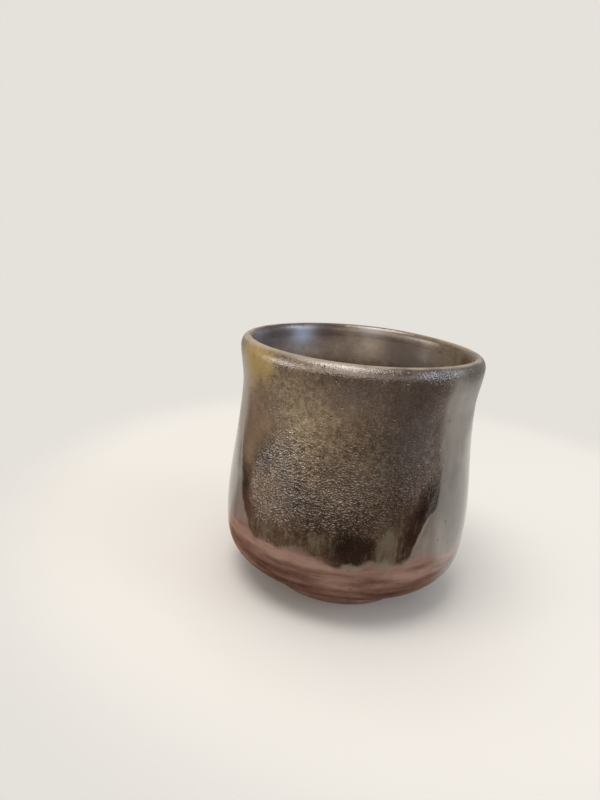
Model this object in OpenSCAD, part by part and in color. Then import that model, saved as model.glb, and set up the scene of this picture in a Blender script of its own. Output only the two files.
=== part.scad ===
// Handleless stoneware cup: a thrown clay body on a turned foot ring, under separate coats of glaze.
// Millimetres, +Z up. The origin is the centre of the foot, on the table.

/* [Clay body] */
// Height of the clay, from the table to the top of the lip
clay_h = 86.2; // [76:0.2:104]
// Outer radius of the clay where the lip flares
lip_r = 41.2; // [38:0.1:46]
// Thickness of the clay at the lip
lip_t = 3.4; // [2.4:0.1:4.6]
// Outer radius of the clay at the waist
waist_r = 39.9; // [37:0.1:45]
// How far the waist lies below the top of the lip
waist_drop = 16; // [12:0.5:24]
// Outer radius of the clay at the belly
belly_r = 43; // [40:0.1:50]
// Height of the widest part of the belly
belly_z = 28; // [24:0.5:36]
// Thickness of the wall, from the belly to the waist
wall_t = 3.6; // [2.6:0.1:5]
// Thickness of the floor
floor_t = 4.6; // [3:0.1:7]
// Radius of the flat part of the floor inside the cup
floor_r = 13; // [8:0.5:18]
// Slope of the straight underside above the foot, in degrees
under_slope = 30; // [24:1:36]
// Radius at which the straight underside turns up into the belly
turn_r = 37; // [34:0.5:38.5]

/* [Foot ring] */
// Outer radius of the foot ring where it stands on the table
foot_r = 26; // [22:0.5:30]
// Height of the foot ring
foot_h = 3.6; // [2.5:0.1:6]
// Width of the foot ring
foot_w = 5; // [3.5:0.1:8]
// How far the foot ring spreads from its top to the table
foot_spread = 0.8; // [0:0.1:1.5]
// Width of the bevel on the two lower edges of the foot ring
foot_bevel = 0.6; // [0.2:0.1:1]

/* [Glaze] */
// Thickness of the pale base glaze
base_t = 0.3; // [0.2:0.05:0.6]
// Thickness of the dark glaze poured over it
dark_t = 0.4; // [0.2:0.05:0.8]
// Thickness of the liner glaze
liner_t = 0.4; // [0.2:0.05:0.8]
// Width of bare clay between the foot and the base glaze, along the surface
bare_w = 2.4; // [1:0.1:4]
// Depth of the dipped lip band on the outside
lip_band = 6; // [4.5:0.1:9]
// Depth of the dipped lip band on the inside
lip_band_in = 4.6; // [4:0.1:8]
// Height of the dark glaze's lower edge above the table
edge_z = 28; // [22:0.5:36]
// How far the runs of dark glaze wave below and above that edge
edge_wave = 1.8; // [0.5:0.1:4]
// Angle from one long run of dark glaze to the next, in degrees
run_pitch = 37; // [25:1:50]
// How far the lower corners of the dark glaze climb
corner_h = 26; // [10:1:32]
// Angle over which the lower corners climb, in degrees
corner_w = 20; // [12:1:28]
// Angle from the front to the left side of the front pour, in degrees
front_left = 61; // [40:1:70]
// Angle from the front to the right side of the front pour, in degrees
front_right = 43; // [30:1:60]
// Angle from the back to the two sides of the back pour, in degrees
back_half = 54; // [40:1:70]

/* [Hidden] */
$fn = 96;

// Shares of the turn's width and height over which it keeps the underside's slope, and stays upright
slope_share = 0.9;
upright_share = 0.61;
// Share of the inside curve that stays upright at the belly, and level at the floor
floor_share = 0.62;
// Where the first long run hangs, in degrees, and the size and pace of the short runs beside the long ones
run_start = 3;
short_run = 0.3;
short_pace = 2.6;
// Angle between points along the edge of a pour, and how far its outline reaches past the surface
edge_step = 3;
past = 1;
// Steps along a long curve, and along the short ones near the lip
long_steps = 10;
short_steps = 4;

lip_round = lip_t / 2;
flare_z = clay_h - lip_round;
waist_z = clay_h - waist_drop;
lip_line = clay_h - lip_band;
inner_line = clay_h - lip_band_in;
floor_z = foot_h + floor_t;
seat_r = foot_r - foot_spread + foot_bevel;
bare_r = seat_r + bare_w * cos(under_slope);
bare_z = foot_h + bare_w * sin(under_slope);
turn_z = foot_h + (turn_r - seat_r) * tan(under_slope);
turn_w = belly_r - turn_r;
inside_r = belly_r - wall_t;

function ease(s) = s * s * (3 - 2 * s);

function bezier(a, b, c, d, t) =
    pow(1 - t, 3) * a + 3 * t * pow(1 - t, 2) * b + 3 * t * t * (1 - t) * c + pow(t, 3) * d;

// Radius between two heights, on a line that is upright at both ends
function eased(z, z0, r0, z1, r1) = r0 + (r1 - r0) * ease((z - z0) / (z1 - z0));

// Outer radius of the clay from the belly up to the lip
function wall_r(z) =
    z < belly_z ? belly_r :
    z < waist_z ? eased(z, belly_z, belly_r, waist_z, waist_r) :
    eased(z, waist_z, waist_r, flare_z, lip_r);

// Inner radius of the clay from the belly up to the lip, where the wall thins to the lip
function inner_r(z) =
    wall_r(z) - (z < waist_z ? wall_t : eased(z, waist_z, wall_t, flare_z, lip_t));

// Points of a curve of n steps from z0 to z1, leaving out the first
function rise(z0, z1, n) = [for (i = [1:n]) z0 + (z1 - z0) * i / n];

// The clay's outer surface from the edge of the base glaze to the lip line
outer_wall = concat(
    [[bare_r, bare_z]],
    [for (i = [0:long_steps]) bezier(
        [turn_r, turn_z],
        [turn_r + slope_share * turn_w, turn_z + slope_share * turn_w * tan(under_slope)],
        [belly_r, belly_z - upright_share * (belly_z - turn_z)],
        [belly_r, belly_z],
        i / long_steps)],
    [for (z = rise(belly_z, waist_z, long_steps)) [wall_r(z), z]],
    [for (z = rise(waist_z, lip_line, short_steps)) [wall_r(z), z]]
);

// The lip, from the outer lip line over the round top to the inner line
lip_over = concat(
    [[wall_r(lip_line), lip_line]],
    [for (z = rise(lip_line, flare_z, short_steps)) [wall_r(z), z]],
    [for (i = [1:long_steps]) [
        lip_r - lip_round + lip_round * cos(180 * i / long_steps),
        flare_z + lip_round * sin(180 * i / long_steps)]],
    [for (z = rise(flare_z, inner_line, short_steps)) [inner_r(z), z]]
);

// The clay's inner surface from the inner line down to the middle of the floor
inner_wall = concat(
    [[inner_r(inner_line), inner_line]],
    [for (z = rise(inner_line, waist_z, short_steps)) [inner_r(z), z]],
    [for (z = rise(waist_z, belly_z, long_steps)) [inner_r(z), z]],
    [for (i = [1:long_steps]) bezier(
        [inside_r, belly_z],
        [inside_r, belly_z - floor_share * (belly_z - floor_z)],
        [floor_r + floor_share * (inside_r - floor_r), floor_z],
        [floor_r, floor_z],
        i / long_steps)],
    [[0, floor_z]]
);

function unit(v) = v / norm(v);

// A path moved sideways by d, to the right of its direction, with mitred corners and no step off the axis
function beside(path, d) = [for (i = [0:len(path) - 1])
    let (
        into = unit(path[max(i, 1)] - path[max(i, 1) - 1]),
        out = unit(path[min(i + 1, len(path) - 1)] - path[min(i + 1, len(path) - 1) - 1]),
        along = unit(into + out),
        miter = d / (along * out)
    )
    [path[i].x == 0 ? 0 : path[i].x + miter * along.y, path[i].y - miter * along.x]];

function backwards(list) = [for (i = [len(list) - 1:-1:0]) list[i]];

// A coat between two depths over a stretch of the clay's surface
module coat(path, from, to) {
    rotate_extrude() polygon(concat(beside(path, from), backwards(beside(path, to))));
}

// Height of a pour's lower edge at an angle: waves of runs, and corners that climb towards its two sides
function edge_at(angle, left, right) =
    let (
        phase = 360 * (angle - run_start) / run_pitch,
        runs = (1 - short_run) * cos(phase) + short_run * cos(short_pace * phase),
        corner = max(0, corner_w - left - angle, corner_w - right + angle) / corner_w
    )
    edge_z - edge_wave * runs + corner_h * corner * corner;

function edge_point(angle, z) = [wall_r(z) * sin(angle), z];

// The part of the dark coat inside a pour's outline, which is drawn as seen from the pour's own side
module pour(left, right) {
    steps = ceil((left + right) / edge_step);
    edge = [for (i = [0:steps]) (left + right) * i / steps - left];
    intersection() {
        coat(outer_wall, base_t, base_t + dark_t);
        rotate([90, 0, 0]) linear_extrude(belly_r + base_t + dark_t + past) polygon(concat(
            [for (angle = edge) edge_point(angle, edge_at(angle, left, right))],
            [for (z = rise(edge_at(right, left, right), lip_line + past, long_steps)) edge_point(right, z)],
            [for (i = [0:long_steps - 1])
                let (z = lip_line + past + (edge_at(-left, left, right) - lip_line - past) * i / long_steps)
                edge_point(-left, z)]
        ));
    }
}

module clay_body() {
    color([0.46, 0.34, 0.28])
    rotate_extrude() polygon(concat(
        [[0, foot_h], [seat_r, foot_h]],
        outer_wall,
        [for (i = [1:len(lip_over) - 1]) lip_over[i]],
        [for (i = [1:len(inner_wall) - 1]) inner_wall[i]]
    ));
}

module foot_ring() {
    color([0.46, 0.34, 0.28])
    rotate_extrude() polygon([
        [foot_r - foot_w, foot_bevel], [foot_r - foot_w + foot_bevel, 0],
        [foot_r - foot_bevel, 0], [foot_r, foot_bevel],
        [foot_r - foot_spread, foot_h], [foot_r - foot_w, foot_h]
    ]);
}

module liner_glaze() {
    color([0.36, 0.32, 0.29]) coat(inner_wall, 0, liner_t);
}

module base_glaze() {
    color([0.55, 0.50, 0.46]) coat(outer_wall, 0, base_t);
}

module dark_glaze() {
    color([0.28, 0.23, 0.19]) {
        pour(front_left, front_right);
        rotate([0, 0, 180]) pour(back_half, back_half);
    }
}

module lip_glaze() {
    color([0.38, 0.33, 0.27]) coat(lip_over, 0, base_t + dark_t);
}

clay_body();
foot_ring();
liner_glaze();
base_glaze();
dark_glaze();
lip_glaze();
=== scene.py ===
import bpy
import numpy as np
from mathutils import Matrix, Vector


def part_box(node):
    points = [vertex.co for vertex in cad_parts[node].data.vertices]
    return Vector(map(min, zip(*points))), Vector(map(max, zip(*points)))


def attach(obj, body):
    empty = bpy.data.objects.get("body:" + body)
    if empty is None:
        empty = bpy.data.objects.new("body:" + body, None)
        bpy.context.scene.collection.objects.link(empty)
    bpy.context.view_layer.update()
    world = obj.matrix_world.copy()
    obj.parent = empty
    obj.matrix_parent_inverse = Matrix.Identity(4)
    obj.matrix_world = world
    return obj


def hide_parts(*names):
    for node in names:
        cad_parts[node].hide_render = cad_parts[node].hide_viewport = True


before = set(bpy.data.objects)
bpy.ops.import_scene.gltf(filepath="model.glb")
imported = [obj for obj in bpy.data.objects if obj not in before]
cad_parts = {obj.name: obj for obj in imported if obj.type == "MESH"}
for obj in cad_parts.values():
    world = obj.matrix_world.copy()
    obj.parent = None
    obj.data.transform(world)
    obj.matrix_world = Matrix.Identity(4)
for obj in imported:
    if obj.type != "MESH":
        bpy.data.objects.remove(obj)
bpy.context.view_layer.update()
mm = 0.001
print("frame:", len(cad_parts), "nodes")

clayLow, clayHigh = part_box("clay_body")
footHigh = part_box("foot_ring")[1]

# the thrown form, in millimetres: heights and the foot come from the frame
cup = {
    "top": clayHigh.z / mm,          # top of the clay lip
    "under": clayLow.z / mm,         # underside of the floor, on the foot
    "footR": footHigh.x / mm,
    "lipR": 41.2, "lipT": 3.4, "lipSteps": 40,
    "shoulderW": 2.1, "shoulderH": 3.2, "insideH": 4.2,      # the lip rolls over in two quarter ovals
    "waistR": 39.9, "waistDrop": 16.0,
    "bellyR": 43.0, "bellyZ": 28.0,
    "wallT": 3.6, "floorT": 4.6, "floorR": 13.0,
    "seatR": 25.8, "turnR": 37.0, "underSlope": 30.0,
    "slopeShare": 0.9, "uprightShare": 0.61, "floorShare": 0.62,      # pull of the curves' ends
    "bareW": 2.4,                    # bare clay between the foot and the glaze
    "lipBand": 6.0, "linerDrop": 4.6,
    "baseT": 0.3, "darkT": 0.28, "linerT": 0.4,
}
cup["underRise"] = np.tan(np.radians(cup["underSlope"]))
cup["bareR"] = cup["seatR"] + cup["bareW"] * np.cos(np.radians(cup["underSlope"]))
cup["flareZ"] = cup["top"] - cup["shoulderH"]
cup["waistZ"] = cup["top"] - cup["waistDrop"]
cup["lipLine"] = cup["top"] - cup["lipBand"]
cup["floorZ"] = cup["under"] + cup["floorT"]
cup["insideR"] = cup["bellyR"] - cup["wallT"]


def ease(s):
    # smooth step from 0 to 1: three squares less two cubes
    s = np.clip(s, 0, 1)
    return s * s * (3 - 2 * s)


def hump(x, middle, span):
    # bell of height 1 round its middle
    return np.exp(-((x - middle) / span) ** 2)


def wallR(z):
    # outer radius of the clay: belly to waist to lip, each an eased step
    toWaist = ease((z - cup["bellyZ"]) / (cup["waistZ"] - cup["bellyZ"]))
    toLip = ease((z - cup["waistZ"]) / (cup["flareZ"] - cup["waistZ"]))
    return cup["bellyR"] + (cup["waistR"] - cup["bellyR"]) * toWaist + (cup["lipR"] - cup["waistR"]) * toLip


def innerR(z):
    # inner radius: the wall's thickness eases to the lip's
    thin = ease((z - cup["waistZ"]) / (cup["flareZ"] - cup["waistZ"]))
    return wallR(z) - cup["wallT"] + (cup["wallT"] - cup["lipT"]) * thin


def bezier(a, b, c, d, count=80):
    # cubic curve through its two ends, pulled by the two middle points
    t = np.linspace(0, 1, count)[:, None]
    a, b, c, d = (np.array(p, float) for p in (a, b, c, d))
    return (1 - t) ** 3 * a + 3 * t * (1 - t) ** 2 * b + 3 * t * t * (1 - t) * c + t ** 3 * d


def upright(radius, z0, z1, count=120):
    # points at even heights on a wall whose radius follows the height
    z = np.linspace(z0, z1, count)
    return np.column_stack([radius(z), z])


def undersideZ(r):
    # straight slope outwards and up from the foot
    return cup["under"] + (r - cup["seatR"]) * cup["underRise"]


def outsidePath(startR, insideDrop):
    # straight underside, turn into the belly, wall, round lip, and down inside by insideDrop
    turnZ, turnW = undersideZ(cup["turnR"]), cup["bellyR"] - cup["turnR"]
    slope, rise = cup["slopeShare"] * turnW, cup["uprightShare"] * (cup["bellyZ"] - turnZ)
    roll = np.linspace(0, np.pi / 2, cup["lipSteps"])[1:]
    crestR, width = cup["lipR"] - cup["shoulderW"], cup["lipT"] - cup["shoulderW"]
    return np.vstack([
        [[startR, undersideZ(startR)]],
        bezier([cup["turnR"], turnZ], [cup["turnR"] + slope, turnZ + slope * cup["underRise"]],
               [cup["bellyR"], cup["bellyZ"] - rise], [cup["bellyR"], cup["bellyZ"]]),
        upright(wallR, cup["bellyZ"], cup["flareZ"])[1:],
        np.column_stack([crestR + cup["shoulderW"] * np.cos(roll),
                         cup["top"] - cup["shoulderH"] * (1 - np.sin(roll))]),
        np.column_stack([crestR - width * np.sin(roll), cup["top"] - cup["insideH"] * (1 - np.cos(roll))]),
        upright(innerR, cup["top"] - cup["insideH"], cup["top"] - insideDrop, cup["lipSteps"])[1:],
    ])


def insidePath(topDrop):
    # inner wall from topDrop below the lip, round the bottom and flat to the axis
    share, floorZ, floorR = cup["floorShare"], cup["floorZ"], cup["floorR"]
    return np.vstack([
        upright(innerR, cup["top"] - topDrop, cup["bellyZ"]),
        bezier([cup["insideR"], cup["bellyZ"]],
               [cup["insideR"], cup["bellyZ"] - share * (cup["bellyZ"] - floorZ)],
               [floorR + share * (cup["insideR"] - floorR), floorZ], [floorR, floorZ])[1:],
        [[0.0, floorZ]],
    ])


def runOf(path):
    # length along a path at each of its points
    return np.concatenate([[0], np.cumsum(np.linalg.norm(np.diff(path, axis=0), axis=1))])


def onPath(path, run):
    # radius and height at a length along a path, and the unit normal to the right of its direction
    along = np.gradient(path, axis=0)
    along /= np.linalg.norm(along, axis=1)[:, None]
    columns = (path[:, 0], path[:, 1], along[:, 1], -along[:, 0])
    return [np.interp(run, runOf(path), column) for column in columns]


def rowsOn(path, first, last, count, weight=lambda r, z: 1.0, samples=2000):
    # count lengths from first to last along a path, closer together where weight is larger
    fine = np.linspace(first, last, samples)
    r, z = onPath(path, fine)[:2]
    share = np.cumsum(weight(r, z) + 0 * z)
    return np.interp(np.linspace(share[0], share[-1], count), share, fine)


def turnsOf(columns):
    # angles round the axis, 0 at the front
    return np.linspace(-np.pi, np.pi, columns, endpoint=False)


def ripple(theta, z, seed, waves=14, around=9, length=30.0):
    # sum of cosines with seeded wave numbers and phases: whole turns around, lengths in mm upwards
    draw = np.random.default_rng(seed)
    total = 0
    for _ in range(waves):
        k, m = draw.integers(1, around + 1), draw.normal(0, 2 * np.pi / length)
        phase, sense = draw.uniform(0, 6.283), draw.choice([-1, 1])
        total = total + np.cos(sense * k * theta + m * z + phase)
    return total * np.sqrt(2 / waves)


# unevenness left by the wheel, in mm: out of round, spiral rings, a wavy rim that is higher in front;
# waves are a ripple's seed, count, turns and length, and From and Span say where each sets in
throwing = {
    "round": 0.14, "roundWaves": (3, 10, 4, 90), "rings": 0.006, "pitch": 5.6,
    "rim": 0.22, "rimWaves": (8, 6, 3), "front": 0.55,
    "wallFrom": 6, "wallSpan": 22, "axisSpan": 20, "rimFrom": 55, "rimSpan": 30,
}


def thrown(theta, r, z):
    # out-of-round, faint spiral rings and an uneven rim, none of it near the foot
    up = ease((z - throwing["wallFrom"]) / throwing["wallSpan"])
    turn = 2 * np.pi * z / throwing["pitch"] - theta
    dr = throwing["round"] * ripple(theta, z, *throwing["roundWaves"]) + throwing["rings"] * np.cos(turn)
    dz = throwing["rim"] * ripple(theta, 0 * z, *throwing["rimWaves"])
    dz = dz + throwing["front"] * (0.5 + 0.5 * np.cos(theta)) ** 3
    return (r + up * dr * np.minimum(1, r / throwing["axisSpan"]),
            z + dz * ease((z - throwing["rimFrom"]) / throwing["rimSpan"]))


def skinPoints(path, run, theta, lift):
    # a path carried round the axis and pushed along its normals by lift, all arrays of one shape
    r, z, nr, nz = onPath(path, run)
    r, z = thrown(theta, r + nr * lift, z + nz * lift)
    return np.stack([r * np.sin(theta), -r * np.cos(theta), z], axis=-1) * mm


def quadsOf(index, loopRows=False, loopColumns=False):
    # four corners of each cell of a grid of vertex numbers, its ends joined where it loops
    index = np.pad(index, ((0, int(loopRows)), (0, int(loopColumns))), mode="wrap")
    return np.stack([index[:-1, :-1], index[:-1, 1:], index[1:, 1:], index[1:, :-1]], -1).reshape(-1, 4)


def addPiece(name, points, quads, tris=None, fields=None):
    # smooth mesh from arrays, with one value a vertex for each field
    tris = np.empty((0, 3), int) if tris is None else tris
    mesh = bpy.data.meshes.new(name)
    mesh.vertices.add(len(points))
    mesh.vertices.foreach_set("co", points.astype(np.float32).ravel())
    mesh.loops.add(quads.size + tris.size)
    mesh.loops.foreach_set("vertex_index", np.concatenate([quads.ravel(), tris.ravel()]).astype(np.int32))
    mesh.polygons.add(len(quads) + len(tris))
    starts = np.concatenate([np.arange(len(quads)) * 4, quads.size + np.arange(len(tris)) * 3])
    mesh.polygons.foreach_set("loop_start", starts.astype(np.int32))
    mesh.update(calc_edges=True)
    mesh.validate()
    mesh.polygons.foreach_set("use_smooth", np.ones(len(mesh.polygons), bool))
    for key, values in (fields or {}).items():
        mesh.attributes.new(key, "FLOAT", "POINT").data.foreach_set("value", values.astype(np.float32))
    piece = bpy.data.objects.new(name, mesh)
    bpy.context.scene.collection.objects.link(piece)
    print(name, len(quads) * 2 + len(tris), "triangles")
    return piece


def closedRing(outside, hidden):
    # a full turn: rows up the outside, then back along the hidden side
    points = np.vstack([outside, hidden])
    index = np.arange(points.shape[0] * points.shape[1]).reshape(points.shape[:2])
    return points.reshape(-1, 3), quadsOf(index, True, True)


def closedBowl(rings, start, end):
    # rows from one point on the axis to another
    rows, columns = rings.shape[:2]
    index = np.arange(rows * columns).reshape(rows, columns)
    points = np.vstack([rings.reshape(-1, 3), np.array([start, end]) * mm])
    first, last, a, b = rows * columns, rows * columns + 1, index[0], index[-1]
    tris = np.vstack([
        np.stack([np.roll(a, -1), a, np.full(columns, first)], -1),
        np.stack([b, np.roll(b, -1), np.full(columns, last)], -1),
    ])
    return points, quadsOf(index, False, True), tris


def closedPatch(outside, hidden):
    # two grids of one shape that share their border
    rows, columns = outside.shape[:2]
    index = np.arange(rows * columns).reshape(rows, columns)
    under = index.copy()
    under[1:-1, 1:-1] = rows * columns + np.arange((rows - 2) * (columns - 2)).reshape(rows - 2, columns - 2)
    points = np.vstack([outside.reshape(-1, 3), hidden[1:-1, 1:-1].reshape(-1, 3)])
    return points, np.vstack([quadsOf(index), quadsOf(under)[:, ::-1]])


class Link:
    # an output socket: operators on it add Math nodes
    def __init__(self, shade, socket):
        self.shade, self.socket = shade, socket

    def math(self, operation, *values):
        # a Math node on these values
        return self.shade.node("ShaderNodeMath", {"operation": operation}, dict(enumerate(values)))

    def __add__(self, other):
        return self.math("ADD", self, other)

    def __sub__(self, other):
        return self.math("SUBTRACT", self, other)

    def __rsub__(self, other):
        return self.math("SUBTRACT", other, self)

    def __mul__(self, other):
        return self.math("MULTIPLY", self, other)

    def __abs__(self):
        return self.math("ABSOLUTE", self)

    __radd__ = __add__
    __rmul__ = __mul__


class Shade:
    # a node tree and what is added to it
    def __init__(self, tree):
        self.tree = tree

    def node(self, kind, settings=None, sockets=None, out=0):
        # one output of a new node, from its type, its settings and its sockets' values or links
        made = self.tree.nodes.new(kind)
        for key, value in (settings or {}).items():
            if key == "stops":
                self.setStops(made.color_ramp.elements, value)
            else:
                setattr(made, key, value)
        for key, value in (sockets or {}).items():
            if isinstance(value, Link):
                self.tree.links.new(value.socket, made.inputs[key])
            else:
                made.inputs[key].default_value = value
        return Link(self, made.outputs[out])

    def setStops(self, elements, stops):
        # a ramp's places and colours
        while len(elements) < len(stops):
            elements.new(0.5)
        for element, (position, colour) in zip(elements, stops):
            element.position, element.color = position, colour

    def at(self, stretch=(1, 1, 1)):
        # place on the object, times a stretch along each axis
        coordinates = self.node("ShaderNodeTexCoord", out=3)
        return self.node("ShaderNodeMapping", {}, {"Vector": coordinates, "Scale": stretch})

    def noise(self, size, detail=2.0, rough=0.5, stretch=(1, 1, 1)):
        # smooth noise with features of about size mm
        return self.node("ShaderNodeTexNoise", {}, {
            "Vector": self.at(stretch), "Scale": 1 / (size * mm), "Detail": detail, "Roughness": rough})

    def cells(self, size):
        # distance to the nearest of scattered points about size mm apart, as a share of size
        return self.node("ShaderNodeTexVoronoi", {}, {"Vector": self.at(), "Scale": 1 / (size * mm)})

    def field(self, name):
        # a value that the mesh carries at its vertices
        return self.node("ShaderNodeAttribute", {"attribute_name": name}, out=2)

    def step(self, value, low, high):
        # smooth step from 0 at low to 1 at high
        return self.node("ShaderNodeMapRange", {"interpolation_type": "SMOOTHSTEP"},
                         {"Value": value, "From Min": low, "From Max": high})

    def ramp(self, value, stops):
        # colour at a value, blended between stops
        return self.node("ShaderNodeValToRGB", {"stops": stops}, {"Fac": value})

    def mix(self, share, a, b):
        # a where share is 0, b where it is 1
        return self.node("ShaderNodeMix", {"data_type": "RGBA"}, {0: share, 6: a, 7: b}, out=2)

    def bump(self, height):
        # height in mm
        return self.node("ShaderNodeBump", {}, {"Height": height, "Distance": mm, "Strength": 1.0})

    def dot(self, vector, axis):
        # part of a vector along an axis
        return self.node("ShaderNodeVectorMath", {"operation": "DOT_PRODUCT"}, {0: vector, 1: axis}, out=1)

    def ray(self, kind):
        # 1 for rays of one kind, otherwise 0
        return self.node("ShaderNodeLightPath", out=f"Is {kind} Ray")


def tint(red, green, blue):
    # an 8-bit screen colour as linear light
    c = np.array([red, green, blue]) / 255
    c = np.where(c <= 0.04045, c / 12.92, ((c + 0.055) / 1.055) ** 2.4)
    return (*c.tolist(), 1.0)


def newMaterial(name, constants):
    # a Principled material with its fixed values set on their own sockets
    material = bpy.data.materials.new(name)
    material.use_nodes = True
    shader = material.node_tree.nodes["Principled BSDF"]
    for key, value in constants.items():
        shader.inputs[key].default_value = value
    return material, Shade(material.node_tree), shader


def feed(shade, shader, **links):
    # links the values that vary to the shader's sockets
    names = {"colour": "Base Color", "rough": "Roughness", "normal": "Normal"}
    for key, link in links.items():
        shade.tree.links.new(link.socket, shader.inputs[names[key]])


# where the dark glaze was poured: degrees from the front, heights in mm
pours = {
    "front": (61.0, 43.0), "back": (54.0, 54.0),      # how far each reaches to its left and right
    "edgeZ": 26.8, "wave": 1.8, "pitch": 37.0, "start": 3.0,
    "shortRun": 0.3, "shortPace": 2.6,
    "cornerRise": 26.0, "cornerAngle": 20.0,
    "meltOut": 4.0, "meltIn": 8.0,                    # width over which its edge melts into the base
}


def turned(degrees, by):
    # an angle less another, between half a turn either way
    return (degrees - by + 180) % 360 - 180


def pourEdge(angle, left, right):
    # height of a pour's lower edge: long and short runs, and corners that climb to its two sides
    phase = 2 * np.pi * (angle - pours["start"]) / pours["pitch"]
    runs = (1 - pours["shortRun"]) * np.cos(phase) + pours["shortRun"] * np.cos(pours["shortPace"] * phase)
    corner = np.maximum(0, pours["cornerAngle"] - np.minimum(left + angle, right - angle))
    return pours["edgeZ"] - pours["wave"] * runs + pours["cornerRise"] * (corner / pours["cornerAngle"]) ** 2


def pourInside(angle, z, left, right):
    # millimetres inside a pour's outline: the least of those to its sides and its lower edge
    arc = np.radians(wallR(z))
    sides = np.minimum((angle + left) * arc, (right - angle) * arc)
    return np.minimum(z - pourEdge(angle, left, right), sides)


def insidePours(degrees, z):
    # millimetres inside the nearer of the two pours
    back = pourInside(turned(degrees, 180), z, *pours["back"])
    return np.maximum(pourInside(degrees, z, *pours["front"]), back)


# places in the outer glaze: angle, height, half width in degrees, half height in mm, amount
spots = {
    "tone": [      # darker and lighter: partly the glaze's own tone, partly painted reflection and shade
        (-50, 37, 8, 8, -0.7), (-60, 46, 4, 3, -0.5), (-54, 73, 6, 6, 0.5), (-40, 53, 7, 5, -0.45),
        (-52, 50, 5, 5, 0.4), (-18, 51, 9, 7, -0.25), (-38, 30, 8, 4, -0.3), (-15, 31, 12, 5, -0.2),
        (-3, 39, 16, 5, -0.5), (-37, 41.5, 8, 7, 0.42), (-45, 42, 4, 6, 0.35), (-54, 41, 5, 6, -0.5),
        (-14, 43, 7, 5, -0.15), (0, 52, 12, 8, 0.15), (-28, 68, 11, 9, 0.5), (-40, 70, 9, 12, 0.25),
        (-15, 66, 12, 10, 0.3), (0, 71, 18, 6, 0.25), (-54, 60, 11, 14, 0.45), (-17, 78, 25, 7, 0.5),
        (53, 72, 10, 14, 0.5), (36, 61, 7, 11, 0.4), (17, 48, 13, 9, -0.28), (24, 70, 18, 15, -0.1),
        (60, 42, 16, 13, -1.15), (60, 85, 12, 5, -0.6), (58, 31, 10, 8, -0.8), (45, 33, 6, 7, 0.9),
        (-43, 61, 8, 7, 0.2), (33, 47, 7, 7, 0.2), (-41, 45, 7, 7, 0.15),
    ],
    # painted reflection: deep dark patches where the glaze mirrors dark things; they are added into the tone
    # field
    "darkReflection": [(6, 30, 10, 6.5, -1.1), (29, 30, 5, 6.5, -0.8), (33, 38, 6, 6, -0.8), (38, 45, 6.5, 6.5, -1.0)],
    "peel": [      # orange peel
        (-32, 44, 16, 12, 0.9), (2, 44, 18, 10, 0.6), (29, 50, 10, 8, 0.28), (-24, 60, 16, 10, 0.15),
        (3, 29, 10, 5, -0.2), (34, 40, 8, 9, -0.35), (-54, 42, 8.5, 14, -1.3), (-40, 44, 9, 9, 0.6),
        (38, 84.6, 8, 2.2, 1.2), (-43, 59, 10, 7, -0.42),
    ],
    "run": [       # mm by which the dark colour runs past its outline; some shape the edges of painted dark reflection
        (27, 28, 5, 3.5, 2.5), (45, 68, 6, 14, -1.0), (-56, 33, 4, 4, -2.5), (42, 43.5, 5, 4, 5.5),
        (43, 38, 4, 2.2, -2.4), (38, 35, 5, 5, -1.3), (43.5, 49, 5, 7, 3.4), (-4, 24.5, 5, 3, 2.2),
        (8, 24.5, 4, 3, 1.7), (24, 25.5, 4, 3, 2.0), (31, 26, 4, 3, 0.8),
    ],
    "fleck": [(-20, 66, 14, 11, 0.9), (-36, 78, 18, 8, 0.6), (6, 62, 12, 9, 0.3)],
    "ochre": [
        (-53, 82.5, 15, 7, 1.0), (-60, 75, 10, 7, 0.6), (-30, 84.5, 10, 2, 0.5), (-41, 81.5, 7, 3.5, 0.5),
    ],
    "yellow": [(-18, 53, 13, 9, 0.3), (6, 46, 15, 4, 0.25)],
    "cool": [(30, 65, 16, 15, 1.35), (2, 79, 22, 7, 0.6), (-36, 73, 14, 6, 0.35), (46, 84, 18, 5, 0.7)],
    # the warm band is painted reflection: where its edge lies, and paler places in it
    "warm": [(45, 27, 15, 7, -0.8), (76, 28, 22, 7, -1.0), (-59, 28, 10, 7, -0.8)],
    "warmPale": [(2, 19, 9, 3, 0.22), (-33, 22, 12, 3, 0.14)],
    # painted reflection: olive-grey patches where the glaze mirrors things beside it
    "olive": [
        (20, 30, 6, 6.5, 0.9), (18, 36, 4, 5, 0.4), (-36, 30.5, 8, 5, 0.6), (-22, 30, 5, 3, 0.4),
        (-10, 31, 7, 4, 0.5),
    ],
    # painted glints: a pale fringe in places along the dark colour's edge
    "fringe": [(4, 25, 9, 2.5, 1.0), (37, 34, 7, 7, 1.9), (-24, 27, 7, 2, 0.7), (19, 27, 5, 2, 0.6)],
}
firmSpots = ("darkReflection", "olive")      # these have firmer edges
# places inside the cup: a bluish painted reflection, and paler and darker clouds that are partly the glaze's
# own and partly painted reflection and shade
insideSpots = {
    "bloom": [
        (-140, 82.8, 7.5, 3.2, 1.25), (-133, 81.5, 8, 3, 0.1), (-98, 85, 10, 4, 0.4),
        (-112, 80.8, 12, 3.5, 0.13), (175, 84.5, 7, 2.8, 0.35),
    ],
    "cloudy": [
        (176, 80, 8, 4.5, 0.4), (-167, 83, 8, 4, -0.3), (160, 79, 7, 5, -0.45), (136, 81.5, 6, 3, 0.15),
        (-115, 82, 16, 6, -0.7), (150, 77, 16, 7, -0.35), (115, 80, 20, 9, -0.15), (-126, 84, 8, 3, -0.4),
        (-155, 84.3, 6, 2.5, -1.1), (-150, 79.5, 10, 4, -0.25), (-167, 79, 7, 2.5, -0.2),
        (152, 79, 11, 6, -0.6), (139, 83.3, 5, 2.2, 0.4), (176, 84.3, 7, 2.5, 0.3),
    ],
}


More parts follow.
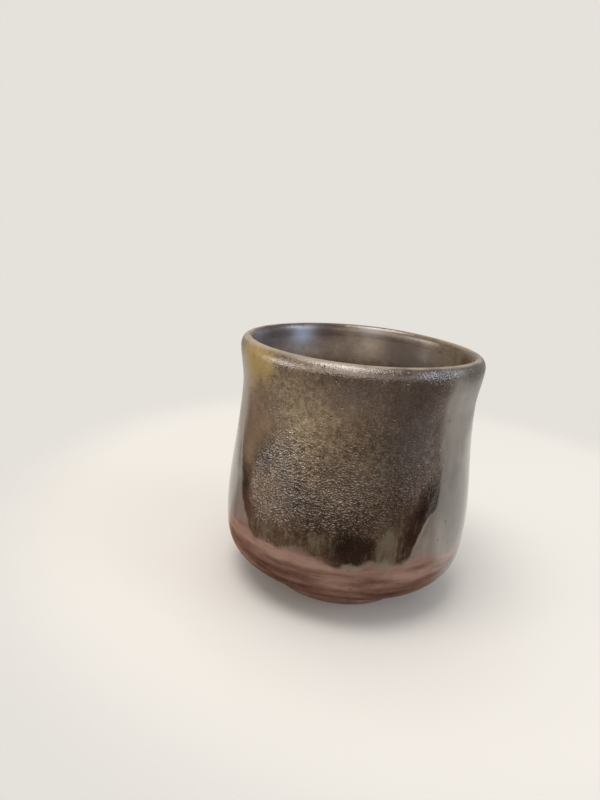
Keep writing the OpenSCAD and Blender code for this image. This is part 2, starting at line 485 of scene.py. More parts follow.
def patches(degrees, z, places, power=1):
    # sum of bells over angle and height; a higher power gives them firmer edges
    total = 0
    for angle, height, wide, tall, amount in places:
        away = (turned(degrees, angle) / wide) ** 2 + ((z - height) / tall) ** 2
        total = total + amount * np.exp(-away ** power)
    return total


def bothSides(degrees, z, key):
    # spots of one kind in front, and the same layout half a turn round
    behind = [(180 + angle, *rest) for angle, *rest in spots[key]]
    return patches(degrees, z, spots[key] + behind, 2 if key in firmSpots else 1)


# how far coats reach under and over each other, and how deep their edges sink, in mm
outer = {"tuck": 2.5, "lap": 1.2, "lapSink": 0.1, "pastLiner": 2.0, "hiddenLift": -0.05,
         "edgeSpan": 1.2, "edgeStart": 0.25, "linerFrom": 1, "linerSpan": 3}
outside = outsidePath(cup["bareR"], cup["linerDrop"] + outer["pastLiner"])
outsideRun = runOf(outside)
lipTop = int(np.argmax(outside[:, 1]))


def runAt(z):
    # length along the outside at which it reaches a height
    return np.interp(z, outside[:lipTop + 1, 1], outsideRun[:lipTop + 1])


def aboveLine(run):
    # length along the outside past the dipped lip's line
    return run - runAt(cup["lipLine"])


def glazeLift(run, theta):
    # thickness of the melted coats: the base, plus the pours and the dipped lip, eased into the liner inside
    z = onPath(outside, run)[1]
    melt = pours["meltOut"] + pours["meltIn"]
    pour = ease((insidePours(np.degrees(theta), z) + pours["meltOut"]) / melt)
    dip = ease((aboveLine(run) + pours["meltOut"]) / melt)
    edge = ease(run / outer["edgeSpan"] + outer["edgeStart"])
    lift = cup["baseT"] * edge + cup["darkT"] * (1 - (1 - pour) * (1 - dip))
    overLip = run - outsideRun[lipTop]
    return lift + ease((overLip - outer["linerFrom"]) / outer["linerSpan"]) * (cup["linerT"] - lift)


def lapped(within):
    # drop of a coat's edge below the melted surface, from where its own outline is crossed
    return outer["lapSink"] * (1 - ease((within + outer["lap"]) / outer["lap"]))


def tucked(lift, under):
    # a coat that drops to the base's thickness over the first millimetres under another
    return lift + ease(under / outer["tuck"]) * (np.minimum(lift, cup["baseT"]) - lift)


# how the zones of colour meet: lengths in mm, angles in degrees, a ripple's waves, bells as middle and span
zones = {
    "ragged": 0.35, "raggedWaves": (21, 24, 60, 9),                      # uneven edge of the dark colour
    "soft": 1.9, "softer": 1.6, "softerFrom": 36, "softerSpan": 14,      # its width, wider higher up
    "dipDrop": 2.0, "dipWave": 0.6, "dipWaves": (5, 8, 12),              # edge of the dipped lip's colour
    "peel": 0.25, "peelLeast": 0.05,
    "ochreLeast": 0.3, "ochreFrom": -29, "ochreSpan": 15,                # ochre fades past the left side
    # the warm band towards the foot, with its streaks, is painted reflection
    "warmZ": 28.5, "warmSpan": 4.5, "warmWave": 0.8, "warmWaves": (11, 10, 12),
    "warmTone": 0.5, "streak": 0.07, "streakWaves": (11, 24, 9, 5),
    "pale": 0.25, "paleBell": (2.5, 2.8),                                # painted reflection: paler just below the dark edge
    "deep": 0.08, "deepFrom": 4, "deepSpan": 6,                          # and darker towards the foot, painted shade
    "fringeBell": (-0.3, 1.8), "rimBell": (-2.0, 2.4), "withinFrom": 0.2, "withinSpan": 1.8,
    # paler on the lip's crest, where the glaze is thin, and in bands outside it and inside it
    "crest": 0.85, "crestWave": 0.12, "crestWaves": (17, 12, 30), "crestBell": (-0.35, 0.7),
    "thinOut": 0.5, "thinOutBell": (-1.2, 1.0), "thinOutFrom": 20, "thinOutSpan": 40,
    "thinIn": 0.6, "thinInBell": (0.8, 0.9), "thinInAngle": 120, "thinInWide": 26,
}


def innerFields(degrees, z):
    # what the colours inside the cup follow
    return {key: patches(degrees, z, places) for key, places in insideSpots.items()}


def thinGlaze(theta, degrees, overLip):
    # bells along the lip: its crest all round, outside it on the left, inside it at one place
    crest = zones["crest"] + zones["crestWave"] * ripple(theta, 0 * overLip, *zones["crestWaves"])
    left = ease((zones["thinOutFrom"] - degrees) / zones["thinOutSpan"])
    near = hump(turned(degrees, zones["thinInAngle"]), 0, zones["thinInWide"])
    return (hump(overLip, *zones["crestBell"]) * crest
            + zones["thinOut"] * hump(overLip, *zones["thinOutBell"]) * left
            + zones["thinIn"] * hump(overLip, *zones["thinInBell"]) * near)


def glazeFields(run, theta):
    # what the glaze's colours follow, over the outside
    z = onPath(outside, run)[1]
    degrees = np.degrees(theta) + 0 * z
    overLip = run - outsideRun[lipTop]
    spread = {key: bothSides(degrees, z, key) for key in spots}
    ragged = zones["ragged"] * ripple(theta, z, *zones["raggedWaves"]) + spread["run"]
    dip = aboveLine(run) - zones["dipDrop"] + zones["dipWave"] * ripple(theta, 0 * z, *zones["dipWaves"])
    inside = np.maximum(insidePours(degrees, z) + ragged, dip)
    soft = zones["soft"] + zones["softer"] * ease((z - zones["softerFrom"]) / zones["softerSpan"])
    ochre = ease((zones["ochreFrom"] - degrees) / zones["ochreSpan"])
    ochre = zones["ochreLeast"] + (1 - zones["ochreLeast"]) * ochre
    warmZ = zones["warmZ"] + zones["warmWave"] * ripple(theta, 0 * z, *zones["warmWaves"])
    below = pours["edgeZ"] - z
    warmTone = zones["warmTone"] + zones["pale"] * hump(below, *zones["paleBell"])
    warmTone = warmTone - zones["deep"] * ease((below - zones["deepFrom"]) / zones["deepSpan"])
    warmTone = warmTone + zones["streak"] * ripple(theta, z, *zones["streakWaves"])
    return {
        "pour": inside / soft,
        # tone also carries the painted dark reflections
        "tone": spread["tone"] + spread["darkReflection"],
        "peel": np.maximum(zones["peelLeast"], zones["peel"] + spread["peel"]),
        "fleck": spread["fleck"],
        "ochre": spread["ochre"] * ochre + spread["yellow"],
        "cool": spread["cool"],
        "warm": (warmZ - z) / zones["warmSpan"] + spread["warm"],
        "warmTone": warmTone + spread["warmPale"],
        "fringe": spread["fringe"] * hump(inside, *zones["fringeBell"]),
        "olive": spread["olive"],
        "thin": thinGlaze(theta, degrees, overLip),
        "rim": hump(overLip, *zones["rimBell"]),
        "within": ease((overLip - zones["withinFrom"]) / zones["withinSpan"]),
        **innerFields(degrees, z),
    }


def flatFields(fields, total):
    # one value a vertex, 0 on the hidden side
    return {key: np.concatenate([(v + 0).ravel(), np.zeros(total - v.size)]) for key, v in fields.items()}


def coatRound(name, run, theta, lift, hiddenRows):
    # a closed coat all round: rows up its outside, rows back along its hidden side, and its fields
    hidden = rowsOn(outside, run[-1, 0], run[0, 0], hiddenRows)[1:-1, None] + 0 * theta
    points, quads = closedRing(skinPoints(outside, run, theta + 0 * run, lift),
                               skinPoints(outside, hidden, theta + 0 * hidden, outer["hiddenLift"]))
    fields = flatFields(glazeFields(run, theta + 0 * run), len(points))
    return addPiece(name, points, quads, None, fields)


baseCoat = {"rows": 124, "hidden": 16, "columns": 480}


def makeBaseGlaze():
    # from the bare clay to the lip; under the pours and the dipped lip it drops to its own thickness
    first, last = 0.0, runAt(cup["lipLine"]) + outer["tuck"]
    theta = turnsOf(baseCoat["columns"])[None, :]
    run = rowsOn(outside, first, last, baseCoat["rows"])[:, None] + 0 * theta
    z = onPath(outside, run)[1]
    under = np.maximum(insidePours(np.degrees(theta), z), aboveLine(run))
    return coatRound("baseGlaze", run, theta, tucked(glazeLift(run, theta), under), baseCoat["hidden"])


darkCoat = {"rows": 108, "columns": 192}


def makeDarkGlaze():
    # two poured patches: across by angle, up from each pour's wavy edge to just under the dipped lip
    allPoints, allQuads, values, count = [], [], [], 0
    for middle, (left, right) in ((0, pours["front"]), (180, pours["back"])):
        reach = np.degrees(outer["lap"] / cup["waistR"])
        across = np.linspace(-left - reach, right + reach, darkCoat["columns"])[None, :]
        up = np.linspace(0, 1, darkCoat["rows"])[:, None]
        low = pourEdge(across, left, right) - outer["lap"]
        z = low + (cup["lipLine"] + outer["tuck"] - low) * up
        run = runAt(z)
        theta = np.radians(across + middle) + 0 * run
        inside = pourInside(across, z, left, right)
        melted = glazeLift(run, theta)
        lift = tucked(melted - lapped(inside), aboveLine(run))
        under = np.minimum(lift, tucked(melted, inside)) - outer["lapSink"] / 2
        points, quads = closedPatch(skinPoints(outside, run, theta, lift),
                                    skinPoints(outside, run, theta, under))
        allPoints.append(points)
        allQuads.append(quads + count)
        values.append(flatFields(glazeFields(run, theta), len(points)))
        count += len(points)
    fields = {key: np.concatenate([part[key] for part in values]) for key in values[0]}
    return addPiece("darkGlaze", np.vstack(allPoints), np.vstack(allQuads), None, fields)


lipCoat = {"rows": 64, "hidden": 16, "columns": 480,
           "closer": 1.2, "closerDrop": 1}      # rows lie closer from a little below the flare


def makeLipGlaze():
    # the dipped band, from the lip line over the rim to just past the liner's edge
    first, last = runAt(cup["lipLine"]) - outer["lap"], outsideRun[-1]
    theta = turnsOf(lipCoat["columns"])[None, :]
    closeZ = cup["flareZ"] - lipCoat["closerDrop"]
    run = rowsOn(outside, first, last, lipCoat["rows"], lambda r, z: 1 + lipCoat["closer"] * (z > closeZ))
    run = run[:, None] + 0 * theta
    lift = glazeLift(run, theta) - lapped(aboveLine(run))
    lift = lift - outer["lapSink"] * ease(1 - (last - run) / outer["pastLiner"])
    return coatRound("lipGlaze", run, theta, lift, lipCoat["hidden"])


liner = {"rows": 150, "hidden": 30, "columns": 288, "floorR": 24, "floorSpan": 8,
         "rings": 0.05, "pitch": 6.5, "ringSpan": 12, "spiral": 0.12, "spiralPitch": 4.2, "spiralR": 3,
         "button": 0.3, "buttonR": 3.5}


def makeLinerGlaze():
    # coat over the inside: hidden side up from the axis, then the visible side from under the dipped lip
    # down to the middle of the floor, with rings on the wall and a spiral on the floor left by throwing
    path = insidePath(cup["linerDrop"] - outer["lap"])
    last = runOf(path)[-1]
    theta = turnsOf(liner["columns"])[None, :]
    run = rowsOn(path, 0, last, liner["rows"] + 1)[:-1, None] + 0 * theta
    r, z = onPath(path, run)[:2]
    onFloor = ease((liner["floorR"] - r) / liner["floorSpan"])
    rings = np.cos(2 * np.pi * z / liner["pitch"] - theta)
    rings = rings * ease((cup["waistZ"] - z) / liner["ringSpan"]) * (1 - onFloor)
    spiral = np.cos(2 * np.pi * r / liner["spiralPitch"] - theta) * onFloor * ease(r / liner["spiralR"])
    lift = cup["linerT"] - lapped(run - outer["lap"]) + liner["rings"] * rings + liner["spiral"] * spiral
    lift = lift + liner["button"] * hump(r, 0, liner["buttonR"])
    hidden = rowsOn(path, last, 0, liner["hidden"] + 1)[1:, None] + 0 * theta
    skins = np.vstack([skinPoints(path, hidden, theta + 0 * hidden, outer["hiddenLift"]),
                       skinPoints(path, run, theta + 0 * run, lift)])
    low, high = cup["floorZ"] + outer["hiddenLift"], cup["floorZ"] + cup["linerT"] + liner["button"]
    fields = {key: np.concatenate([np.zeros(hidden.size), values.ravel(), [0, 0]])
              for key, values in innerFields(np.degrees(theta) + 0 * z, z).items()}
    return addPiece("linerGlaze", *closedBowl(skins, (0, 0, low), (0, 0, high)), fields)


body = {"rows": 300, "columns": 240, "wellInset": 5.5, "spiral": 0.1, "spiralPitch": 2.6,
        "button": 0.5, "buttonR": 3}


def makeClayBody():
    # underside from the axis, outside, lip and inside back to the axis, with a turned spiral inside the foot
    path = np.vstack([[[0.0, cup["under"]], [cup["seatR"], cup["under"]]],
                      outsidePath(cup["bareR"], cup["linerDrop"])[:-1], insidePath(cup["linerDrop"])])
    theta = turnsOf(body["columns"])[None, :]
    last = runOf(path)[-1]
    run = rowsOn(path, 0, last, body["rows"] + 2)[1:-1, None] + 0 * theta
    r = onPath(path, run)[0]
    well = (run < cup["footR"] - body["wellInset"]) * 1.0
    lift = well * body["spiral"] * (np.cos(2 * np.pi * r / body["spiralPitch"] - theta) - 1)
    lift = lift + well * body["button"] * hump(r, 0, body["buttonR"])
    rings = skinPoints(path, run, theta + 0 * run, lift)
    start, end = (0, 0, cup["under"] - body["button"]), (0, 0, cup["floorZ"])
    return addPiece("clayBody", *closedBowl(rings, start, end))


foot = {"rows": 96, "columns": 240, "width": 5.0, "spread": 0.8,
        "bevel": 0.6, "bevelIn": 0.3, "bevelUp": 0.25,      # the bevel bends at these shares of it
        "groove": 0.06, "pitch": 0.9, "sideFacing": 0.8}


def makeFootRing():
    # closed section carried round the axis, with turning grooves on its two sides
    r, h, b = cup["footR"], cup["under"], foot["bevel"]
    inner, cut, up = r - foot["width"], foot["bevelIn"] * b, foot["bevelUp"] * b
    section = np.array([[r - b, 0], [r - cut, up], [r, b], [r - foot["spread"], h], [inner, h],
                        [inner, b], [inner + cut, up], [inner + b, 0], [r - b, 0]])
    theta = turnsOf(foot["columns"])[None, :]
    run = rowsOn(section, 0, runOf(section)[-1], foot["rows"] + 1)[:-1, None] + 0 * theta
    _, z, nr, _ = onPath(section, run)
    groove = -foot["groove"] * (0.5 + 0.5 * np.cos(2 * np.pi * z / foot["pitch"] - theta))
    groove = groove * (np.abs(nr) > foot["sideFacing"])
    rings = skinPoints(section, run, theta + 0 * run, groove)
    return addPiece("footRing", *closedRing(rings[:1], rings[1:]))


# noises: features in mm, detail, roughness, and what stretches some of them
grains = {
    "cloud": (11, 4, 0.6), "mottle": (2.2, 3, 0.6), "grain": (0.46, 2, 0.55), "flake": (1.1, 2, 0.6),
    "vein": (3, 3, 0.6, (1, 1, 0.25)), "line": (1.3, 2, 0.6, (1, 1, 0.2)),      # drawn out upwards
    "sweep": (9, 4, 0.6, (0.4, 0.4, 2.2)),      # drawn out along the foot
    "fold": (0.7, 1.5, 0.5), "wave": (1.05, 1.5, 0.5, (0.88, 0.88, 1.05)),
    "inCloud": (14, 4, 0.6), "inFine": (1.6, 3, 0.6), "inWave": (1.6, 2, 0.5),
    "grit": (0.6, 3, 0.65), "clayCloud": (9, 3, 0.55),
}
# the glazes: ramps of colour, ochre, index, pinholes in mm and shares of that, and how sharply zones meet
glaze = {
    "dark": ((0.0, tint(24, 14, 9)), (0.28, tint(57, 42, 31)), (0.5, tint(92, 74, 59)),
             (0.75, tint(128, 107, 86)), (1.0, tint(162, 142, 120))),
    "cool": ((0.0, tint(24, 19, 18)), (0.5, tint(86, 77, 75)), (1.0, tint(152, 143, 140))),
    # grey: lighter than the glaze's own colour, partly painted reflection of the pale backdrop on the sides
    "grey": ((0.3, tint(108, 101, 94)), (0.5, tint(126, 118, 110)), (0.7, tint(142, 133, 123))),
    # warm: colours of the painted reflection towards the foot
    "warm": ((0.1, tint(66, 43, 36)), (0.5, tint(112, 84, 73)), (0.9, tint(150, 121, 108))),
    "inside": ((0.1, tint(48, 31, 19)), (0.26, tint(68, 53, 41)), (0.5, tint(118, 101, 84)),
               (0.68, tint(150, 135, 115))),
    "ochreDeep": tint(134, 108, 68), "ochrePale": tint(188, 162, 108),
    "index": 1.65, "pitApart": 4.6, "pitEdge": (0.05, 0.09), "meetEdge": (-0.6, 0.6),
}
# colours laid over others: where each sets in, and how much it covers
overlays = {
    "gold": {"edge": (0.46, 0.66), "share": 0.65, "colour": tint(170, 154, 120)},
    "ochre": {"edge": (0.1, 1.1), "share": 0.9},
    # olive and fringe are painted reflection laid over the glaze
    "olive": {"edge": (0.1, 1.1), "share": 0.7, "colour": tint(104, 97, 79)},
    "fringe": {"edge": (0.35, 0.95), "share": 0.6, "colour": tint(138, 132, 115)},
    "thin": {"edge": (0.2, 0.9), "share": 0.65, "colour": tint(170, 156, 138)},
    "pit": {"share": 0.8, "colour": tint(38, 29, 24)},
    # a bluish painted reflection inside the cup
    "bloom": {"share": 0.65, "colour": tint(180, 190, 216)},
    "cool": {"share": 0.6},
}
# roughness, and relief in mm
gloss = {"plain": 0.14, "mottle": 0.08, "rim": 0.11, "inside": 0.33, "inWave": 0.12, "inDull": 0.25,
         "dullEdge": (0.3, 1.1), "clay": 0.72, "grit": 0.2}
relief = {"fold": 0.01, "darkFold": 0.01, "peelFold": 0.045, "rimFold": 0.02, "wave": 0.17, "rimLess": 0.08,
          "grain": 0.012, "pit": 0.15, "inWave": 0.05, "grit": 0.06}
# how noises break up the edge of a field, and what makes up a colour's place on its ramp
breakUp = {
    "ochre": {"mottle": 0.8, "grain": 0.6, "vein": 0.5},
    "warmTone": {"sweep": 1.8, "mottle": 0.2}, "warm": {"mottle": 1.0},
    "pour": {"grain": 1.4, "mottle": 1.0}, "olive": {"mottle": 1.0, "line": 2.2},
    "fringe": {"mottle": 1.6, "grain": 0.8}, "thin": {"mottle": 0.25},
}
shares = {
    "grey": {"cloud": 0.6, "vein": 0.4, "tone": 0.2},
    "gold": {"grain": 0.4, "flake": 0.3, "mottle": 0.3, "fleck": 0.08},
    "inside": {"inCloud": 0.75, "inFine": 0.25, "cloudy": 0.4},
    "clay": {"clayCloud": 0.6, "grit": 0.4},
}
# place on the dark ramp; the shares that grow with peel, and fold and peelWave, paint glints, highlight and
# shade on the bumps
darkDepth = {"middle": 0.47, "tone": 0.4, "cloud": 0.36, "mottle": 0.2, "fleckMottle": 0.35,
             "grain": 0.2, "peelGrain": 0.3, "foldMiddle": 0.42, "fold": 0.16, "peelWave": 0.34}
clay = {"index": 1.45,
        "colours": ((0.3, tint(88, 62, 48)), (0.5, tint(122, 90, 71)), (0.7, tint(146, 113, 92)))}


def noisesOf(shade, *names):
    # the named noises
    return {name: shade.noise(*grains[name]) for name in names}


def fieldsOf(shade, *names):
    # the named fields
    return {name: shade.field(name) for name in names}


def weighed(parts, key):
    # sum of parts, each times its share
    return sum(share * parts[name] for name, share in shares[key].items())


def uneven(start, parts, weights):
    # a start plus each noise's distance from its middle, times a weight
    return sum((weight * (parts[name] - 0.5) for name, weight in weights.items()), start)


def broken(shade, parts, key):
    # a field whose edge is broken up by noises
    return uneven(shade.field(key), parts, breakUp[key])


def insideLook(shade):
    # colour, roughness and relief of the liner and the lip's inner side: grey-brown clouds, partly painted
    # reflection and shade, and a bluish painted reflection
    parts = noisesOf(shade, "inCloud", "inFine", "inWave") | fieldsOf(shade, "cloudy", "bloom")
    browns = shade.ramp(weighed(parts, "inside"), glaze["inside"])
    colour = shade.mix(parts["bloom"] * overlays["bloom"]["share"], browns, overlays["bloom"]["colour"])
    dull = shade.step(0 - parts["cloudy"], *gloss["dullEdge"])
    rough = uneven(gloss["inside"], parts, {"inWave": gloss["inWave"]}) + gloss["inDull"] * dull
    return colour, rough, parts["inWave"] * relief["inWave"]


def darkLook(shade, parts, fold, wave):
    # brown clouds and grain by depth, with painted shade in the creases and painted highlight on the crests
    # of the bumps, cooler in places, then gold flecks and ochre laid over them
    peel, fleck, kind = parts["peel"], parts["fleck"], darkDepth
    depth = uneven(kind["middle"] + kind["tone"] * parts["tone"], parts, {
        "cloud": kind["cloud"], "mottle": kind["mottle"] + kind["fleckMottle"] * fleck,
        "grain": kind["grain"] + kind["peelGrain"] * peel})
    # painted shade and highlight: the colour darkens in the bumps' creases and lightens on their crests,
    # more where the peel is strong
    depth = depth + (fold - kind["foldMiddle"]) * kind["fold"]
    depth = depth + (wave - kind["foldMiddle"]) * kind["peelWave"] * peel
    colour = shade.mix(shade.field("cool") * overlays["cool"]["share"],
                       shade.ramp(depth, glaze["dark"]), shade.ramp(depth, glaze["cool"]))
    gold = shade.step(weighed(parts, "gold"), *overlays["gold"]["edge"]) * fleck
    colour = shade.mix(gold * overlays["gold"]["share"], colour, overlays["gold"]["colour"])
    ochre = shade.step(broken(shade, parts, "ochre"), *overlays["ochre"]["edge"])
    ochres = shade.mix(parts["cloud"], glaze["ochreDeep"], glaze["ochrePale"])
    return shade.mix(ochre * overlays["ochre"]["share"], colour, ochres)


def baseLook(shade, parts):
    # smooth grey with faint runs, its lightness partly painted reflection; towards the foot a warm streaked
    # band of painted reflection
    greys = shade.ramp(weighed(parts, "grey"), glaze["grey"])
    warms = shade.ramp(broken(shade, parts, "warmTone"), glaze["warm"])
    warm = shade.step(broken(shade, parts, "warm"), *glaze["meetEdge"])
    return shade.mix(warm, greys, warms)


def outerGlazeMaterial(name):
    # the three outer coats melt into each other, so each carries the same layers and its own fields
    material, shade, shader = newMaterial(name, {"IOR": glaze["index"]})
    parts = noisesOf(shade, "cloud", "mottle", "grain", "vein", "line", "sweep", "flake")
    parts = parts | fieldsOf(shade, "peel", "rim", "fleck", "tone")
    peel, rim, grain = parts["peel"], parts["rim"], parts["grain"]
    # rounded bumps between narrow creases, fine and coarse
    fold, wave = (abs(crease - 0.5) * 4 for crease in noisesOf(shade, "fold", "wave").values())
    pit = 1 - shade.step(shade.cells(glaze["pitApart"]), *glaze["pitEdge"])

    # dark over base, then olive patches and a pale fringe that are painted reflection, thin lip and pinholes
    cover = shade.step(broken(shade, parts, "pour"), *glaze["meetEdge"])
    colour = shade.mix(cover, baseLook(shade, parts), darkLook(shade, parts, fold, wave))
    for key in ("olive", "fringe", "thin"):
        amount = shade.step(broken(shade, parts, key), *overlays[key]["edge"])
        colour = shade.mix(amount * overlays[key]["share"], colour, overlays[key]["colour"])
    colour = shade.mix(pit * overlays["pit"]["share"], colour, overlays["pit"]["colour"])

    rough = uneven(gloss["plain"], parts, {"mottle": gloss["mottle"]}) + gloss["rim"] * rim
    folds = cover * (relief["darkFold"] + peel * relief["peelFold"])
    height = fold * (relief["fold"] + folds + rim * relief["rimFold"])
    height = height + wave * cover * peel * (relief["wave"] - relief["rimLess"] * rim)
    height = height + grain * cover * relief["grain"] - pit * relief["pit"]
    within = shade.field("within")
    inColour, inRough, inHeight = insideLook(shade)
    feed(shade, shader, colour=shade.mix(within, colour, inColour),
         rough=rough + within * (inRough - rough),
         normal=shade.bump(height + within * (inHeight - height)))
    return material


def linerMaterial():
    # the look of the inside alone
    material, shade, shader = newMaterial("liner glaze", {"IOR": glaze["index"]})
    colour, rough, height = insideLook(shade)
    feed(shade, shader, colour=colour, rough=rough, normal=shade.bump(height))
    return material


def clayMaterial():
    # matt brown: clouds and grit added in the colour, grit alone in the relief
    material, shade, shader = newMaterial("bare clay", {"IOR": clay["index"]})
    parts = noisesOf(shade, "grit", "clayCloud")
    feed(shade, shader, colour=shade.ramp(weighed(parts, "clay"), clay["colours"]),
         rough=uneven(gloss["clay"], parts, {"grit": gloss["grit"]}),
         normal=shade.bump(parts["grit"] * relief["grit"]))
    return material


def place(piece, material, node):
    # a piece gets its material, takes a node's place and rides on the cup
    piece.data.materials.append(material)
    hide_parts(node)
    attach(piece, "root")


bareClay = clayMaterial()
place(makeClayBody(), bareClay, "clay_body")
place(makeFootRing(), bareClay, "foot_ring")
place(makeLinerGlaze(), linerMaterial(), "liner_glaze")
place(makeBaseGlaze(), outerGlazeMaterial("base glaze"), "base_glaze")
place(makeDarkGlaze(), outerGlazeMaterial("dark glaze"), "dark_glaze")
place(makeLipGlaze(), outerGlazeMaterial("lip glaze"), "lip_glaze")
print("pieces ride on the cup")


# the floor, in metres; gloss sees it warm past either of two lines in front of the cup
stage = {"middle": (0.03, 0.07, 0), "hole": 0.002, "size": 0.22, "rings": 40, "columns": 96,
         "fadeFrom": 0.145, "reach": 0.2, "pale": tint(229, 225, 219), "inGloss": tint(140, 100, 84),
         "ahead": ((-0.353, -0.936, 0), (-0.182, -0.983, 0)), "aheadEdge": (-0.004, 0.018)}


def makeFloor():
    # flat disc that fades into the backdrop's colour
    rings, columns = stage["rings"], stage["columns"]
    r = np.linspace(stage["hole"], stage["size"], rings)[:, None]
    theta = turnsOf(columns)[None, :]
    points = np.stack([r * np.sin(theta), -r * np.cos(theta), 0 * r * theta], -1)
    points = points + np.array(stage["middle"])
    index = np.arange(rings * columns).reshape(rings, columns)
    mesh = bpy.data.meshes.new("floor")
    mesh.from_pydata(points.reshape(-1, 3).tolist(), [],
                     quadsOf(index, False, True)[:, ::-1].tolist() + [index[0].tolist()])
    material = bpy.data.materials.new("pale floor")
    material.use_nodes = True
    shade = Shade(material.node_tree)
    shade.tree.nodes.remove(shade.tree.nodes["Principled BSDF"])
    far = shade.node("ShaderNodeVectorMath", {"operation": "DISTANCE"},
                     {0: shade.at(), 1: stage["middle"]}, out=1)
    ahead = [shade.dot(shade.at(), line) for line in stage["ahead"]]
    glossy = shade.ray("Glossy") * shade.step(ahead[0].math("MAXIMUM", *ahead), *stage["aheadEdge"])
    tone = shade.mix(glossy, stage["pale"], stage["inGloss"])
    pale = shade.node("ShaderNodeBsdfDiffuse", {}, {"Color": tone})
    clear = shade.node("ShaderNodeBsdfTransparent")
    both = shade.node("ShaderNodeMixShader", {},
                      {0: shade.step(far, stage["fadeFrom"], stage["reach"]), 1: pale, 2: clear})
    shade.tree.links.new(both.socket, shade.tree.nodes["Material Output"].inputs["Surface"])
    mesh.materials.append(material)
    floor = bpy.data.objects.new("floor", mesh)
    bpy.context.scene.collection.objects.link(floor)


# the room: gloss sees a pale backdrop behind the cup, and a dim room with a low bright band in front of it;
# a pair is where something sets in and where it is full, as the part of a direction along an axis
room = {
    "toBackdrop": (0.309, 0.951, 0), "backdropEdge": (0.38, 0.43), "backdropTurn": (-0.3, 0.3),
    "backdropLeft": (0.62, 0.55, 0.47, 1), "backdropRight": (0.5, 0.477, 0.445, 1),
    "dim": (0.06, 0.045, 0.036, 1), "fill": (0.6, 0.59, 0.57, 1), "aheadEdge": (0.0, 0.2),
    "bandLow": (-0.02, 0.06), "bandHigh": (0.18, 0.36), "bandTaller": 0.08, "tallerTo": (-0.7, -0.4),
    "bandFar": (6.5, 6.1, 5.8, 1), "bandLeft": (3.4, 3.0, 2.55, 1), "bandRight": (1.6, 1.5, 1.5, 1),
    "leftFrom": (-0.9, -0.4), "rightFrom": (-0.2, 0.6),
    "frontLow": (0.14, 0.3), "frontHigh": (0.45, 0.85), "frontLeft": (-0.65, -0.2), "frontRight": (0.0, 0.3),
    "front": (9.5, 8.8, 8.0, 1), "frontLeftLeast": 0.2, "frontLowLeast": 0.3,
    "toWindow": (0.872, 0.06, 0.485), "windowEdge": (0.93, 0.98), "window": (5.0, 5.8, 7.0, 1),
}


def makeWorld():
    # layers of light by direction for gloss, an even fill for the rest, the floor's colour for the camera
    world = bpy.data.worlds.new("studio")
    bpy.context.scene.world = world
    world.use_nodes = True
    shade = Shade(world.node_tree)
    facing = shade.node("ShaderNodeTexCoord", out=0)
    up, right, forward = (shade.dot(facing, axis) for axis in ((0, 0, 1), (1, 0, 0), (0, -1, 0)))
    ahead = shade.step(forward, *room["aheadEdge"])

    taller = room["bandTaller"] * shade.step(right, *room["tallerTo"])
    band = shade.step(up, *room["bandLow"]) * (1 - shade.step(up - taller, *room["bandHigh"])) * ahead
    bright = shade.mix(shade.step(right, *room["leftFrom"]), room["bandFar"], room["bandLeft"])
    bright = shade.mix(shade.step(right, *room["rightFrom"]), bright, room["bandRight"])
    seen = shade.mix(band, room["dim"], bright)

    toLeft, toLow = room["frontLeftLeast"], room["frontLowLeast"]
    pane = shade.step(up, *room["frontLow"]) * (1 - shade.step(right, *room["frontRight"])) * ahead
    pane = pane * (toLeft + (1 - toLeft) * shade.step(right, *room["frontLeft"]))
    pane = pane * (toLow + (1 - toLow) * shade.step(up, *room["frontHigh"]))
    seen = shade.mix(pane, seen, room["front"])

    window = shade.step(shade.dot(facing, room["toWindow"]), *room["windowEdge"])
    seen = shade.mix(window, seen, room["window"])
    turn = shade.step(right, *room["backdropTurn"])
    behind = shade.step(shade.dot(facing, room["toBackdrop"]), *room["backdropEdge"])
    seen = shade.mix(behind, seen, shade.mix(turn, room["backdropLeft"], room["backdropRight"]))
    light = shade.mix(shade.ray("Glossy"), room["fill"], seen)
    light = shade.mix(shade.ray("Camera"), light, stage["pale"])
    shade.tree.links.new(light.socket, shade.tree.nodes["Background"].inputs["Color"])


def turnedTo(right, up, back, spot):
    # a matrix whose columns are three axes and a place
    return Matrix([[right[i], up[i], back[i], spot[i]] for i in range(3)] + [[0, 0, 0, 1]])


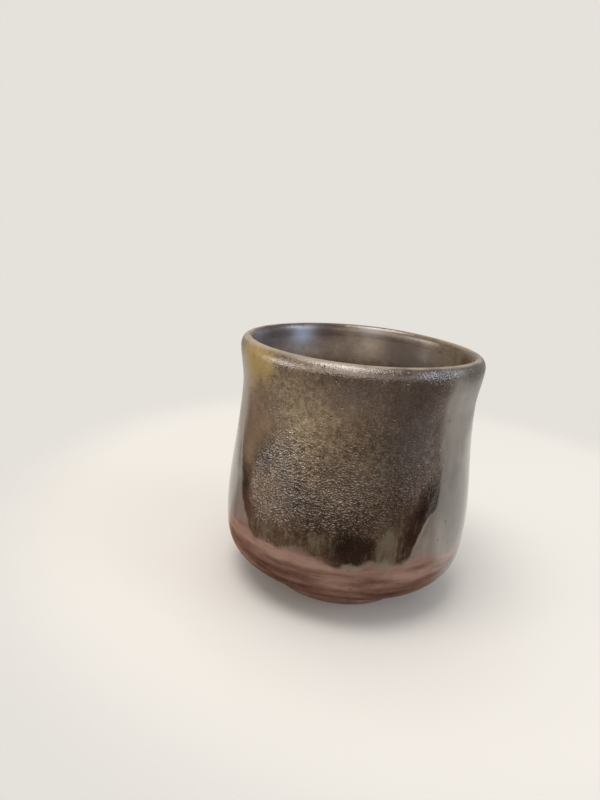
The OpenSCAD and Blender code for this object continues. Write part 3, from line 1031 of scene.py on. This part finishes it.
# soft panels that face the cup: place and size in metres, watts, colour
lampAim = (0, 0, 0.05)
lamps = {
    "overhead": ((-0.1, 0.25, 1.25), (0.7, 0.7), 2.6, (1, 0.97, 0.95)),
    "key": ((-0.24, -0.3, 1.06), (0.6, 0.45), 5.0, (1, 0.97, 0.93)),
    "low left": ((-0.88, -0.22, 0.12), (0.4, 0.26), 1.6, (1, 0.95, 0.93)),
    "window right": ((0.85, -0.18, 0.36), (0.5, 0.42), 2.2, (0.72, 0.83, 1)),
}


def addLamp(name, spot, size, watts, colour):
    # its back points away from the aim, its right lies level
    lamp = bpy.data.lights.new(name, "AREA")
    lamp.shape, lamp.size, lamp.size_y = "RECTANGLE", size[0], size[1]
    lamp.energy, lamp.color = watts, colour
    holder = bpy.data.objects.new(name, lamp)
    back = np.array(spot) - np.array(lampAim)
    back = back / np.linalg.norm(back)
    right = np.cross([0, 0, 1], back)
    right = right / np.linalg.norm(right)
    holder.matrix_world = turnedTo(right, np.cross(back, right), back, spot)
    bpy.context.scene.collection.objects.link(holder)


# the camera stands on the -Y side, turned, tipped and rolled as the photograph was taken
view = {"distance": 0.2063, "height": 0.1229, "yaw": -5.53, "pitch": 15.96, "roll": 4.95,
        "lens": 27.0, "sensor": 36, "nearest": 0.01}


def makeCamera():
    # the way ahead from yaw and pitch, then right and up turned about it by the roll
    yaw, pitch, roll = (np.radians(view[key]) for key in ("yaw", "pitch", "roll"))
    ahead = np.array([np.sin(yaw) * np.cos(pitch), np.cos(yaw) * np.cos(pitch), -np.sin(pitch)])
    right = np.cross(ahead, [0, 0, 1])
    right = right / np.linalg.norm(right)
    up = np.cross(right, ahead)
    x, y = np.cos(roll) * right + np.sin(roll) * up, np.cos(roll) * up - np.sin(roll) * right
    camera = bpy.data.cameras.new("camera")
    camera.lens, camera.sensor_width, camera.clip_start = view["lens"], view["sensor"], view["nearest"]
    holder = bpy.data.objects.new("camera", camera)
    holder.matrix_world = turnedTo(x, y, -ahead, (0, -view["distance"], view["height"]))
    bpy.context.scene.collection.objects.link(holder)
    bpy.context.scene.camera = holder


makeFloor()
makeWorld()
for name, lamp in lamps.items():
    addLamp(name, *lamp)
makeCamera()
bpy.context.scene.view_settings.view_transform = "Standard"
print("stage, lights and camera")
